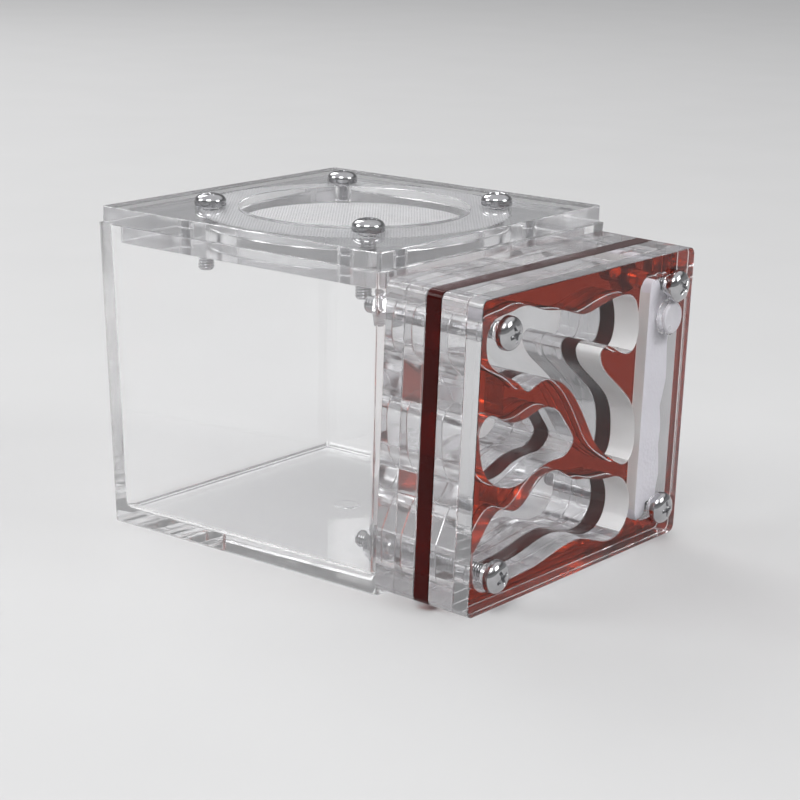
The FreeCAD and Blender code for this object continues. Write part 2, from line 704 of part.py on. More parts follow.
def check_piece(piece):
    """Stops on a sub-part that isn't one sound solid."""
    shape = piece.Shape
    if shape.isNull() or not shape.isValid() or len(shape.Solids) != 1:
        raise RuntimeError("%s is not one valid solid" % piece.Label)


def main():
    doc = FreeCAD.newDocument("ant_habitat")
    make_sheet(doc)
    pieces = [make_foraging_box(doc)]
    pieces += make_lid(doc)
    pieces += make_nest_block(doc)
    pieces += [make_hydration_sponge(doc), make_hydration_plug(doc)]
    pieces += make_nest_fasteners(doc)
    doc.recompute()
    check_document(doc)
    for piece in pieces:
        check_piece(piece)
    os.makedirs("parts", exist_ok=True)
    for piece in pieces:
        piece.Shape.exportStep("parts/%s.step" % piece.Label)
        box = piece.Shape.BoundBox
        print("%-26s %9.1f mm3  %6.2f x %6.2f x %6.2f"
              % (piece.Label, piece.Shape.Volume, box.XLength, box.YLength, box.ZLength))


main()
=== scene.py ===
# %% [markdown]
# # A clear ant habitat, dressed for its picture
# The habitat is a clear moulded box with a vented lid. Five sheets of acrylic
# are bolted to its front: galleries are cut through four of them, one of the
# four is tinted red, and a damp sponge stands in a slot of its own.
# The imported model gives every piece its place. It could be looked at as it
# comes, but its meshes are loose triangles with no finish. So each piece gets a
# copy or a new surface here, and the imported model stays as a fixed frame.

# %% Load the frame
import json
import math

import bmesh
import bpy
import numpy as np
from mathutils import Matrix, Vector


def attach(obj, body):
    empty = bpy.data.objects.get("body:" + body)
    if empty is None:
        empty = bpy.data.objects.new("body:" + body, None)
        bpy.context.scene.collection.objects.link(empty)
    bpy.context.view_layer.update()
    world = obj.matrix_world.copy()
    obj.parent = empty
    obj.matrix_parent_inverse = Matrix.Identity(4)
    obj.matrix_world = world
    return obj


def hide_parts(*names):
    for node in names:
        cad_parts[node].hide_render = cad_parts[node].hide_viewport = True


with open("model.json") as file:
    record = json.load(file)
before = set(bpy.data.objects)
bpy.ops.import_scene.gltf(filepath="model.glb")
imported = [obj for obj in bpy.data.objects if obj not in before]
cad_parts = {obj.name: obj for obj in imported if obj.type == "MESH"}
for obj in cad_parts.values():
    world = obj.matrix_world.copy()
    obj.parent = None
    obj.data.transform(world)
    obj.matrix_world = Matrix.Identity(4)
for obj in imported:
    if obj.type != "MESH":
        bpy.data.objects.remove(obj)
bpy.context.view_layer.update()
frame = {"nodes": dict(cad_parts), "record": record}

MM = 0.001
body_of_node = {node: body for body, nodes in frame["record"]["behaviour"]["bodies"].items() for node in nodes}

# %% [markdown]
# ## The leaning block
# The box walls lean by the mould's draft, and the block of plates lies flat on
# the front wall, so it leans too. Its pieces could each be turned by hand. It is
# simpler to work in the block's own frame, which is across, outward from the
# wall, and up along the wall, and to turn whole arrays of points at the end.

# %% The block's own frame
LEAN = math.radians(1.65)
BLOCK_FOOT = np.array([0.0, -32.5 + (55.0 - 1.4) * math.tan(LEAN), 1.4])
BLOCK_AXES = np.array([
    [1.0, 0.0, 0.0],
    [0.0, -math.cos(LEAN), -math.sin(LEAN)],
    [0.0, -math.sin(LEAN), math.cos(LEAN)],
])


def from_block(points):
    """Points given as across, outward and up, in millimetres, put in place.

    Each is the foot of the block plus its three shares of the block's axes.
    """
    return BLOCK_FOOT + np.asarray(points) @ BLOCK_AXES


def vertices_of(node):
    """A node's corners in millimetres."""
    mesh = frame["nodes"][node].data
    corners = np.empty(len(mesh.vertices) * 3, np.float32)
    mesh.vertices.foreach_get("co", corners)
    return corners.reshape(-1, 3).astype(float) / MM


def block_box(node):
    """A node's lowest and highest across, outward and up, in millimetres."""
    inside = (vertices_of(node) - BLOCK_FOOT) @ BLOCK_AXES.T
    return inside.min(0), inside.max(0)


print("cover, in the block's frame:", [corner.round(2).tolist() for corner in block_box("nest_cover")])

# %% [markdown]
# ## Meshes from arrays
# Every new piece is a stack of rings, such as the turns of a screw or the
# sections of a sponge. A ring could be made vertex by vertex, but numpy works out
# all of them at once. The helper joins each ring to the next with four-sided
# faces, closes the ends with a fan, and turns the faces outwards if the volume
# that they enclose comes out negative.

# %% Rings to a closed mesh


def ring_faces(rings, columns, closed):
    """Quads between neighbouring rings, each ring closing on itself."""
    last = rings if closed else rings - 1
    row, column = np.meshgrid(np.arange(last), np.arange(columns), indexing="ij")
    beside = (column + 1) % columns
    above = (row + 1) % rings
    quads = [row * columns + column, row * columns + beside, above * columns + beside, above * columns + column]
    return np.stack(quads, -1).reshape(-1, 4)


def enclosed_volume(points, triangles):
    """Sum of the signed volumes of the tetrahedra from the origin to each triangle."""
    a, b, c = (points[triangles[:, corner]] for corner in range(3))
    return np.einsum("ij,ij->i", a, np.cross(b, c)).sum() / 6


def mesh_from(name, points, faces, sharp_degrees):
    """A mesh object of points in millimetres, smooth but for its sharp edges."""
    mesh = bpy.data.meshes.new(name)
    mesh.from_pydata((points * MM).tolist(), [], faces)
    mesh.shade_smooth()
    mesh.set_sharp_from_angle(angle=math.radians(sharp_degrees))
    piece = bpy.data.objects.new(name, mesh)
    bpy.context.scene.collection.objects.link(piece)
    return piece


def closed_surface(name, shells, sharp_degrees=35):
    """A mesh of one or more closed shells, each an array of rings of points.

    A shell whose ends are open is closed by a point in the middle of its first
    ring and one in the middle of its last. A shell marked as a loop joins its
    last ring to its first instead.
    """
    all_points, all_faces, start = [], [], 0
    for rings, loop in shells:
        count, columns = rings.shape[:2]
        points = rings.reshape(-1, 3)
        quads = ring_faces(count, columns, loop)
        triangles = np.concatenate([quads[:, [0, 1, 2]], quads[:, [0, 2, 3]]])
        fans = np.empty((0, 3), int)
        if not loop:
            points = np.vstack([points, rings[0].mean(0), rings[-1].mean(0)])
            edge = np.arange(columns)
            beside = (edge + 1) % columns
            first = np.stack([beside, edge, np.full(columns, count * columns)], -1)
            top = (count - 1) * columns
            last = np.stack([top + edge, top + beside, np.full(columns, count * columns + 1)], -1)
            fans = np.concatenate([first, last])
        if enclosed_volume(points, np.concatenate([triangles, fans])) < 0:
            quads = quads[:, ::-1]
            fans = fans[:, ::-1]
        all_points.append(points)
        all_faces += (quads + start).tolist() + (fans + start).tolist()
        start += len(points)
    return mesh_from(name, np.vstack(all_points), all_faces, sharp_degrees)


def hand_over(piece, node, slot, *materials):
    """Makes a piece stand for a node: hides the node, gives the piece its materials and puts it on the node's
    body.
    """
    for material in materials:
        piece.data.materials.append(material)
    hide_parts(node)
    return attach(piece, body_of_node[node])


print("helpers ready")

# %% [markdown]
# ## Small tools for the finishes
# Every finish is a tree of shader nodes. Written out one by one they would fill
# pages, so helpers make the ones that come back: a place on the piece, a noise,
# a range, a blend of two colours and a bump. The places are Object coordinates,
# so a pattern stays on its piece from every side.

# %% Shader helpers


def add_node(tree, kind, **inputs):
    """A node of a kind, with its unlinked sockets set by name."""
    node = tree.nodes.new(kind)
    for socket, value in inputs.items():
        node.inputs[socket.replace("_", " ")].default_value = value
    return node


EVEN = (1.0, 1.0, 1.0)


def place_texture(tree, scale, turn=0.0):
    """Object coordinates, turned about X and stretched."""
    where = add_node(tree, "ShaderNodeTexCoord")
    mapping = add_node(tree, "ShaderNodeMapping", Scale=scale, Rotation=(turn, 0.0, 0.0))
    tree.links.new(where.outputs["Object"], mapping.inputs["Vector"])
    return mapping.outputs["Vector"]


def noise_at(tree, vector, scale, detail=3.0, roughness=0.5):
    """Noise at given coordinates, with about scale waves to the metre."""
    noise = add_node(tree, "ShaderNodeTexNoise", Scale=scale, Detail=detail, Roughness=roughness)
    tree.links.new(vector, noise.inputs["Vector"])
    return noise.outputs["Fac"]


def remap(tree, value, low, high, out_low, out_high):
    """Stretches the part of a value from low to high over a new range."""
    node = add_node(tree, "ShaderNodeMapRange")
    for socket, number in zip(("From Min", "From Max", "To Min", "To Max"), (low, high, out_low, out_high)):
        node.inputs[socket].default_value = number
    tree.links.new(value, node.inputs["Value"])
    return node.outputs["Result"]


def blend_colours(tree, value, first, second):
    """A colour that goes from the first to the second as a value goes from 0 to 1."""
    ramp = tree.nodes.new("ShaderNodeValToRGB")
    ramp.color_ramp.elements[0].color = (*first, 1.0)
    ramp.color_ramp.elements[1].color = (*second, 1.0)
    tree.links.new(value, ramp.inputs["Fac"])
    return ramp.outputs["Color"]


def bump_from(tree, height, distance, strength=1.0):
    """A normal that leans as if the height stood out by a distance in metres."""
    bump = add_node(tree, "ShaderNodeBump", Strength=strength, Distance=distance)
    tree.links.new(height, bump.inputs["Height"])
    return bump.outputs["Normal"]


def new_material(name):
    """A material with its tree, its surface shader and its output, not yet joined."""
    material = bpy.data.materials.new(name)
    material.use_nodes = True
    tree = material.node_tree
    tree.nodes.clear()
    output = tree.nodes.new("ShaderNodeOutputMaterial")
    shader = tree.nodes.new("ShaderNodeBsdfPrincipled")
    return material, tree, shader, output


print("shader helpers ready")

# %% [markdown]
# ## Faces that are pressed together
# Where two sheets are clamped, their faces all but join and show no mirror image.
# An ordinary clear shader mirrors a little on each, and nine such faces in a row
# lie like a veil over what is behind. So a pressed face only bends light, except
# where the light strikes it so flatly that it is held inside the sheet: there it
# keeps the ordinary shader, because that light is what makes the edges bright.

# %% Pressed faces
# The share that a face mirrors is past this only where light is held inside.
HELD_INSIDE = 0.5
PRESSED_ROUGHNESS = 0.01


def without_mirror(tree, shader, ior):
    """The shader only where light is held inside, and plain bending elsewhere.

    The choice between them is one where the share that a face mirrors is past a
    limit, and zero where it isn't.
    """
    mirrored = add_node(tree, "ShaderNodeFresnel", IOR=ior)
    trapped = tree.nodes.new("ShaderNodeMath")
    trapped.operation = "GREATER_THAN"
    trapped.inputs[1].default_value = HELD_INSIDE
    bent = add_node(tree, "ShaderNodeBsdfRefraction", IOR=ior, Roughness=PRESSED_ROUGHNESS)
    choice = tree.nodes.new("ShaderNodeMixShader")
    tree.links.new(shader.inputs["Base Color"].links[0].from_socket, bent.inputs["Color"])
    tree.links.new(mirrored.outputs["Fac"], trapped.inputs[0])
    tree.links.new(trapped.outputs[0], choice.inputs["Fac"])
    tree.links.new(bent.outputs["BSDF"], choice.inputs[1])
    tree.links.new(shader.outputs["BSDF"], choice.inputs[2])
    return choice.outputs["Shader"]


print("pressed faces mirror only past a share of", HELD_INSIDE)

# %% [markdown]
# ## Clear plastic
# Clear plastic is mostly what is seen through it: light bends as it goes in,
# bounces inside the edges and comes out. A transparent shader with no bending
# would be quicker, but the edges would vanish. So the finish is a full
# transmission shader with the real index of refraction, and a faint absorption
# inside. Lamps would be blocked by it, so shadow rays go straight through.
# A cut edge is not as smooth as the sheet: the cutter leaves fine lines across
# its thickness, which are a noise stretched along that direction.

# %% A clear plastic
CLOUD_SIZE = 90.0


def clear_plastic(name, colours, relief, gloss, ior, tint, inside_colour, density, grain, grain_size,
                  grain_turn=0.0, shine=1.0, through=1.0):
    """A see-through plastic: surface colours, absorption inside, and a relief.

    tint is what a shadow ray keeps at each face, grain stretches the relief's
    noise, gloss is the range of its roughness, shine is how much of the mirror
    image is left at right angles, and through is the share that isn't frosted.
    A shine of zero means a pressed face, which mirrors nothing from outside.
    """
    material, tree, shader, output = new_material(name)
    where = place_texture(tree, grain, grain_turn)
    lines = noise_at(tree, where, grain_size)
    clouds = noise_at(tree, place_texture(tree, EVEN), CLOUD_SIZE)
    tree.links.new(blend_colours(tree, clouds, *colours), shader.inputs["Base Color"])
    tree.links.new(remap(tree, lines, 0.35, 0.7, *gloss), shader.inputs["Roughness"])
    tree.links.new(bump_from(tree, lines, relief), shader.inputs["Normal"])
    shader.inputs["IOR"].default_value = ior
    shader.inputs["Transmission Weight"].default_value = through
    shader.inputs["Specular Tint"].default_value = (shine, shine, shine, 1.0)
    shadow = add_node(tree, "ShaderNodeBsdfTransparent", Color=(*tint, 1.0))
    path = tree.nodes.new("ShaderNodeLightPath")
    mix = tree.nodes.new("ShaderNodeMixShader")
    tree.links.new(path.outputs["Is Shadow Ray"], mix.inputs["Fac"])
    tree.links.new(shader.outputs["BSDF"] if shine else without_mirror(tree, shader, ior), mix.inputs[1])
    tree.links.new(shadow.outputs["BSDF"], mix.inputs[2])
    tree.links.new(mix.outputs["Shader"], output.inputs["Surface"])
    inside = add_node(tree, "ShaderNodeVolumeAbsorption", Color=(*inside_colour, 1.0), Density=density)
    tree.links.new(inside.outputs["Volume"], output.inputs["Volume"])
    return material


print("a clear plastic is ready to be given its numbers")

# %% [markdown]
# ## The box's plastic and the clear acrylic
# The box is moulded polystyrene, which bends light more than acrylic does and
# has no cut edges. A sheet of acrylic has smooth faces, pressed faces and cut
# edges. One finish for all of them would be simpler, but the difference between
# them is what tells the sheets of the stack apart. Most cut edges are lightly
# frosted. Gallery walls that face left, towards the lamps, get a milky white
# which is painted light, and the slot's wall beside the sponge gets the same
# milky matt finish.

# %% Clear finishes
WATER_CLEAR = ((0.99, 0.992, 0.995), (1.0, 1.0, 1.0))
FROST = ((0.72, 0.72, 0.73), (0.92, 0.92, 0.93))
# The milky white below is painted light on gallery walls that face the lamps, and a matt finish on the slot's
# wall.
MILK_AND_PAINTED_LIGHT = ((0.86, 0.86, 0.84), (0.97, 0.97, 0.95))
FAINT = (0.93, 0.93, 0.935)
POLYSTYRENE = {"ior": 1.57, "tint": (0.84, 0.84, 0.845), "inside_colour": FAINT, "density": 2.0}
ACRYLIC = {"ior": 1.49, "tint": (0.988, 0.988, 0.99), "inside_colour": FAINT, "density": 2.0}
MOULDED = {"grain": EVEN, "grain_size": 55.0}
SMOOTH = {"grain": EVEN, "grain_size": 40.0}
CUT_IN_BLOCK = {"grain": (1.0, 0.04, 1.0), "grain_turn": LEAN, "grain_size": 1500.0}
CUT_IN_LID = {"grain": (1.0, 1.0, 0.04), "grain_size": 1500.0}
moulded_clear = clear_plastic("moulded_clear", WATER_CLEAR, 0.000006, (0.0, 0.02),
                              **POLYSTYRENE, **MOULDED, through=0.975)
sheet_clear = clear_plastic("sheet_clear", WATER_CLEAR, 0.000004, (0.0, 0.015),
                            **ACRYLIC, **SMOOTH, shine=0.25)
pressed_clear = clear_plastic("pressed_clear", WATER_CLEAR, 0.000002, (0.0, 0.01),
                              **ACRYLIC, **SMOOTH, shine=0.0)
block_cut_clear = clear_plastic("block_cut_clear", FROST, 0.00001, (0.02, 0.16),
                                **ACRYLIC, **CUT_IN_BLOCK, through=0.93)
# Painted light: this milky white stands in for the light falling on the gallery walls that face the lamps.
matt_and_painted_light_cut_clear = clear_plastic("matt_and_painted_light_cut_clear", MILK_AND_PAINTED_LIGHT, 0.000003, (0.3, 0.38),
                               **ACRYLIC, **CUT_IN_BLOCK, through=0.3)
lid_cut_clear = clear_plastic("lid_cut_clear", FROST, 0.00002, (0.02, 0.16),
                              **ACRYLIC, **CUT_IN_LID, through=0.92)
print("clear finishes:", [material.name for material in bpy.data.materials if "clear" in material.name])

# %% [markdown]
# ## The red acrylic
# The red could be a colour on the sheet's faces, but then its edge would be as
# pale as they are. So it is an absorption inside, which is deeper the longer the
# light's way through, and the edge comes out nearly black.

# %% Red finishes
RED_FACE = ((0.97, 0.90, 0.88), (1.0, 0.95, 0.93))
RED_FROST = ((0.04, 0.004, 0.002), (0.24, 0.008, 0.003))
RED_ACRYLIC = {"ior": 1.49, "tint": (0.80, 0.42, 0.38), "inside_colour": (0.81, 0.30, 0.001), "density": 1300.0}
sheet_red = clear_plastic("sheet_red", RED_FACE, 0.000002, (0.0, 0.01),
                          **RED_ACRYLIC, **SMOOTH, shine=0.0)
block_cut_red = clear_plastic("block_cut_red", RED_FROST, 0.00001, (0.03, 0.12),
                              **RED_ACRYLIC, **CUT_IN_BLOCK, shine=0.2, through=0.75)
print("red finishes:", sheet_red.name, block_cut_red.name)

# %% [markdown]
# ## The box, the lid plates and the nest plates
# These are exact already: each is a copy of its node. The copy's loose triangles
# are merged by sorting their corners and keeping one of each, so that light can
# be followed through a closed solid. Rounded corners would show their facets, so
# faces are smooth, and a weighted normal keeps the flat faces truly flat.

# %% Copies of the clear nodes

def merged_copy(node):
    """A node's triangles with one vertex for each place where corners meet."""
    mesh = frame["nodes"][node].data
    mesh.calc_loop_triangles()
    triangles = np.empty(len(mesh.loop_triangles) * 3, np.int32)
    mesh.loop_triangles.foreach_get("vertices", triangles)
    corners = vertices_of(node)
    keys, first, place = np.unique(corners.round(4), axis=0, return_index=True, return_inverse=True)
    merged = place.ravel()[triangles].reshape(-1, 3)
    whole = (merged[:, 0] != merged[:, 1]) & (merged[:, 1] != merged[:, 2]) & (merged[:, 2] != merged[:, 0])
    return mesh_from(node + "_clear", corners[first], merged[whole].tolist(), 28)


def join_flat_faces(piece):
    """Joins triangles that lie in one plane, so that a bevel runs clean."""
    joined = bmesh.new()
    joined.from_mesh(piece.data)
    bmesh.ops.dissolve_limit(joined, angle_limit=math.radians(0.4), verts=joined.verts, edges=joined.edges)
    joined.to_mesh(piece.data)
    joined.free()


print("nodes that can be copied:", len(frame["nodes"]))

# %% Eased edges and true flats


def ease_edges(piece, width):
    """Rounds the sharp edges by a hair, as cutting and handling do."""
    bevel = piece.modifiers.new("eased_edges", "BEVEL")
    bevel.width = width * MM
    bevel.segments = 2
    bevel.limit_method = "ANGLE"
    bevel.angle_limit = math.radians(50)
    bevel.use_clamp_overlap = False


def keep_flats_flat(piece):
    """Lets the largest faces at a corner decide its normal."""
    weighted = piece.modifiers.new("flats", "WEIGHTED_NORMAL")
    weighted.mode = "FACE_AREA"
    weighted.weight = 100
    weighted.keep_sharp = True


print("edge and flat helpers ready")

# %% [markdown]
# ## Which finish each face gets
# A sheet has four kinds of face: its smooth sides, the sides that are pressed on
# a neighbour, its cut edges, and a few cut walls given a milky finish, which on
# the walls that face the lamps is painted light. They could be picked by hand,
# but a face's normal tells them apart: it points along the way through the sheet
# on a side, and square to that way on a cut edge.

# %% Finishes by the way a face looks
SHEET_WAY = {"block": BLOCK_AXES[1], "lid": np.array([0.0, 0.0, 1.0])}
# How much of a normal has to point along a way for the face to count as looking
# that way: the cosine of 60 degrees, and of about 63 for the walls that get the milky finish.
LOOKS_THROUGH = 0.5
LOOKS_ASIDE = 0.45
# Across the block, in metres: the right half of the galleries, where walls that
# face left, towards the lamps, get painted light, and the slot's wall beside the
# sponge with how far from it a wall may be.
PAINTED_LIGHT_HALF = (0.0, 22.0 * MM)
SLOT_WALL = 19.5
WALL_REACH = 0.4 * MM


def mark_faces(piece, way, pressed_side):
    """Sets each face's material: 0 on the sheet's faces, 1 on its cut edges, 2 where
    it is pressed, and 3 where a wall gets the milky finish: painted light on gallery walls that face left, and
    matt on the slot's wall.

    A face is on a cut edge where its normal is more than 60 degrees from the way
    through the sheet, and pressed where that normal points to a pressed side. It
    gets the milky white as painted light where it faces left, towards the lamps, in
    a gallery's right half, and the milky matt finish on the slot's wall beside the sponge.
    """
    normals = np.empty(len(piece.data.polygons) * 3, np.float32)
    middles = np.empty_like(normals)
    piece.data.polygons.foreach_get("normal", normals)
    piece.data.polygons.foreach_get("center", middles)
    normals, middles = normals.reshape(-1, 3), middles.reshape(-1, 3)
    facing = normals @ way
    index = np.where(np.abs(facing) < LOOKS_THROUGH, 1, 0)
    if len(piece.data.materials) > 3:
        aside, across = normals[:, 0], middles[:, 0]
        in_painted_light_half = (across > PAINTED_LIGHT_HALF[0]) & (across < PAINTED_LIGHT_HALF[1])
        on_slot_wall = np.abs(across - SLOT_WALL * MM) < WALL_REACH
        # Walls in the galleries' right half that face left, towards the lamps, get the milky white as painted
        # light.
        index[(index == 1) & (aside < -LOOKS_ASIDE) & in_painted_light_half] = 3
        index[(index == 1) & (aside > LOOKS_ASIDE) & on_slot_wall] = 3
    for side in pressed_side:
        index[facing * side > LOOKS_THROUGH] = 2
    piece.data.polygons.foreach_set("material_index", index.astype(np.int32))
    return int((index == 1).sum())


print("kinds of sheet:", list(SHEET_WAY))

# %% The box and the plates
EASED = 0.14
box = merged_copy("foraging_box")
keep_flats_flat(box)
hand_over(box, "foraging_box", "clear_polystyrene", moulded_clear)
CLEAR_SHEET = ("clear_acrylic", sheet_clear, block_cut_clear, pressed_clear)
FRONT_SHEET = CLEAR_SHEET + (matt_and_painted_light_cut_clear,)
LID_SHEET = ("clear_acrylic", sheet_clear, lid_cut_clear, pressed_clear)
RED_SHEET = ("red_acrylic", sheet_red, block_cut_red, sheet_red)
# A node, the way through its sheet, its finishes, and the sides that are pressed
# on a neighbour: 1 is the side that faces outwards or up, -1 the other.
PLATES = [
    ("lid_plate", "lid", LID_SHEET, (-1,)),
    ("lid_inner_plate", "lid", LID_SHEET, (1,)),
    ("nest_back_plate", "block", CLEAR_SHEET, (-1, 1)),
    ("nest_rear_gallery_plate", "block", CLEAR_SHEET, (-1, 1)),
    ("nest_red_plate", "block", RED_SHEET, (-1, 1)),
    ("nest_front_gallery_plate", "block", FRONT_SHEET, (-1, 1)),
    ("nest_cover", "block", CLEAR_SHEET, (-1,)),
]
for node, way, (slot, *finishes), pressed_side in PLATES:
    plate = merged_copy(node)
    join_flat_faces(plate)
    hand_over(plate, node, slot, *finishes)
    cut_faces = mark_faces(plate, SHEET_WAY[way], pressed_side)
    ease_edges(plate, EASED)
    keep_flats_flat(plate)
    print(node, len(plate.data.polygons), "faces,", cut_faces, "on cut edges")

# %% [markdown]
# ## Bright steel
# The screws, the nuts and the wires are plated steel. A flat grey metal would
# look like paint, so its roughness wanders a little, fine scratches follow it,
# and the base colour is slightly darker in the dull places. The warp wires are
# painted darker than the weft: painted shade, standing in for the shade along
# their sides that shows the weave as lines.

# %% Steel finishes


def bright_steel(name, colours, gloss, scratch):
    """Metal whose roughness and colour follow the same fine noise."""
    material, tree, shader, output = new_material(name)
    dull = noise_at(tree, place_texture(tree, EVEN), 900.0, 4.0)
    lines = noise_at(tree, place_texture(tree, EVEN), 5000.0, 2.0)
    tree.links.new(blend_colours(tree, dull, *colours), shader.inputs["Base Color"])
    tree.links.new(remap(tree, dull, 0.3, 0.7, *gloss), shader.inputs["Roughness"])
    tree.links.new(bump_from(tree, lines, scratch), shader.inputs["Normal"])
    shader.inputs["Metallic"].default_value = 1.0
    tree.links.new(shader.outputs["BSDF"], output.inputs["Surface"])
    return material


plated_steel = bright_steel("plated_steel", ((0.40, 0.40, 0.41), (0.60, 0.60, 0.61)), (0.05, 0.14), 0.000003)
# Painted shade: the warp's darker colour stands in for the shade along the wires' sides.
warp_steel_painted_shade = bright_steel("warp_steel_painted_shade", ((0.30, 0.30, 0.31), (0.42, 0.42, 0.43)), (0.35, 0.45), 0.000002)
weft_steel = bright_steel("weft_steel", ((0.72, 0.72, 0.73), (0.90, 0.90, 0.91)), (0.35, 0.45), 0.000002)
print("steel finishes:", [material.name for material in bpy.data.materials if "steel" in material.name])

# %% [markdown]
# ## Screws with a thread and a cross recess
# A pan-head screw is turned, rolled and struck: a thread runs round the shank,
# and the head is a low dome with a cross punched into it. The thread could be a
# bump, but it shows in outline through the clear plates. So the shank is a grid
# whose radius rises and falls with a phase: how far along, in pitches, less how
# far round, in turns.

# %% The thread
SHANK_RADIUS = 1.45
THREAD_PITCH = 0.5
THREAD_DEPTH = 0.3
ROUND_SHANK = 40
ROWS_PER_PITCH = 8
# The cone of the lead-in starts this much inside the crest.
TIP_STEP = 0.4


def thread_radius(along, turns):
    """Crest radius less a share of the depth, by a ridge with flat crests.

    The ridge is one less twice the distance of the phase from its middle, and
    the phase is along over the pitch less the share of a turn.
    """
    phase = (along / THREAD_PITCH - turns) % 1.0
    ridge = np.clip(1.35 * (1.0 - np.abs(2.0 * phase - 1.0)), 0.0, 1.0)
    return SHANK_RADIUS - THREAD_DEPTH * (1.0 - ridge)


def shank_rings(length):
    """Rings from the tip up to just inside the head, threaded all the way.

    Near the tip the radius is held under a cone, as the lead-in cuts it.
    """
    count = int(length / THREAD_PITCH * ROWS_PER_PITCH)
    along = np.linspace(0.0, length + 0.05, count)[:, None]
    turns = (np.arange(ROUND_SHANK) / ROUND_SHANK)[None, :]
    radius = np.minimum(thread_radius(along, turns), SHANK_RADIUS - TIP_STEP + along)
    angle = 2 * np.pi * turns
    height = along - length + 0 * angle
    return np.stack([radius * np.cos(angle), radius * np.sin(angle), height], -1)


print("a shank has", ROUND_SHANK, "columns and", ROWS_PER_PITCH, "rows to a pitch")

# %% [markdown]
# ## The head and its cross
# The head is a low dome over an upright rim, struck with a cross. The cross could
# be cut out with a boolean, but that leaves ragged faces on a shape this small.
# So the head is a grid of rings whose height is the dome's, less the depth of a
# pit where a place lies inside the cross.

# %% Pan heads
HEAD_HEIGHT = 2.2
HEAD_RADIUS = 2.8
RIM_HEIGHT = 0.85
HEAD_COLUMNS = 144
# The cross: its bars' reach, half width and taper, the round hollow in its
# middle, the width over which its walls drop, and its depth and floor's slope.
BAR_REACH, BAR_HALF_WIDTH, BAR_TAPER = 1.4, 0.36, 0.06
HOLLOW_RADIUS = 0.6
WALL_WIDTH = 0.12
CROSS_DEPTH, FLOOR_SLOPE = 1.1, 0.5


def cross_depth(x, y):
    """Depth of the cross recess: two tapered bars with steep walls and a cone floor.

    How far a place is outside the nearest bar or the hollow says how much of the
    wall is left there, and the floor rises with the distance from the middle.
    """
    def outside_bar(a, b):
        width = BAR_HALF_WIDTH - BAR_TAPER * np.abs(a)
        return np.maximum(np.abs(a) - BAR_REACH, np.abs(b) - width)
    from_middle = np.hypot(x, y)
    outside = np.minimum(outside_bar(x, y), outside_bar(y, x))
    outside = np.minimum(outside, from_middle - HOLLOW_RADIUS)
    wall = np.clip(0.5 - outside / WALL_WIDTH, 0.0, 1.0)
    floor = CROSS_DEPTH - FLOOR_SLOPE * from_middle
    return wall * np.maximum(floor, 0.0)


def head_rings(turn):
    """Rings from under the head, round its rim and over the dome to the middle.

    The dome's height is the rim's plus its rise times the square root of one
    less the share of the radius to the power of 2.6. The cross is taken off it.
    """
    angle = 2 * np.pi * np.arange(HEAD_COLUMNS) / HEAD_COLUMNS
    under = np.array([[SHANK_RADIUS - 0.1, 0.0], [HEAD_RADIUS - 0.12, 0.0], [HEAD_RADIUS, 0.12]])
    share = np.sin(np.linspace(np.pi / 2, 0.01, 54))
    rise = np.sqrt(np.maximum(1 - share ** 2.6, 0.0))
    dome = np.stack([HEAD_RADIUS * share, RIM_HEIGHT + (HEAD_HEIGHT - RIM_HEIGHT) * rise], -1)
    profile = np.vstack([under, dome])
    x = profile[:, :1] * np.cos(angle)
    y = profile[:, :1] * np.sin(angle)
    inner = np.hypot(x, y) < 2.2
    top = np.arange(len(profile))[:, None] >= len(under)
    across = x * math.cos(turn) + y * math.sin(turn)
    upward = y * math.cos(turn) - x * math.sin(turn)
    z = profile[:, 1:] - np.where(inner & top, cross_depth(across, upward), 0.0)
    return np.stack([x, y, z], -1)


print("a head has", HEAD_COLUMNS, "columns, so that its cross stays sharp")

# %% [markdown]
# ## Screws in their places
# A screw is worked out upright, with the plane under its head at height zero, and
# then put where its node is: along the outward way on the block, straight up on
# the lid. Each head is turned a little differently, as a driver leaves them.

# %% Eight screws


def make_screw(node, length, turn, place):
    """A screw along its own axis, put in place by a function of its points."""
    shells = [(place(shank_rings(length)), False), (place(head_rings(turn)), False)]
    screw = closed_surface(node + "_steel", shells, 40)
    return hand_over(screw, node, "plated_steel", plated_steel)


def block_place(node):
    """Places points of a screw or nut, its axis outwards, on a node of the block."""
    low, high = block_box(node)
    def place(points, under=high[1] - HEAD_HEIGHT):
        return from_block(np.stack([
            (low[0] + high[0]) / 2 + points[..., 0],
            under + points[..., 2],
            (low[2] + high[2]) / 2 + points[..., 1],
        ], -1))
    return place


def lid_place(node):
    """Places points of an upright screw on a node of the lid."""
    corners = vertices_of(node)
    middle = (corners.min(0) + corners.max(0)) / 2
    base = np.array([middle[0], middle[1], corners[:, 2].max() - HEAD_HEIGHT])
    return lambda points: points + base


HEAD_TURNS = {"nest_screw_1": 0.5, "nest_screw_2": 0.15, "nest_screw_3": 0.3, "nest_screw_4": 0.9,
              "lid_screw_1": 0.2, "lid_screw_2": 0.6, "lid_screw_3": 1.1, "lid_screw_4": 0.35}
for node, turn in HEAD_TURNS.items():
    if node.startswith("nest"):
        low, high = block_box(node)
        screw = make_screw(node, high[1] - low[1] - HEAD_HEIGHT, turn, block_place(node))
    else:
        length = np.ptp(vertices_of(node)[:, 2]) - HEAD_HEIGHT
        screw = make_screw(node, length, turn, lid_place(node))
    print(node, len(screw.data.polygons), "faces")

# %% [markdown]
# ## Nuts
# A hexagon nut is a slice of hexagonal bar with its corners turned off by a cone
# and a threaded bore. It could be a cylinder with six sides, but the turned
# corners are what makes it look like a nut. Here its rings run up the outside,
# over the top face, down the thread and back, so the shell is one loop. The
# hexagon's radius is its half width over the cosine of the angle from the
# nearest flat, and the cone holds it under a limit near both faces.

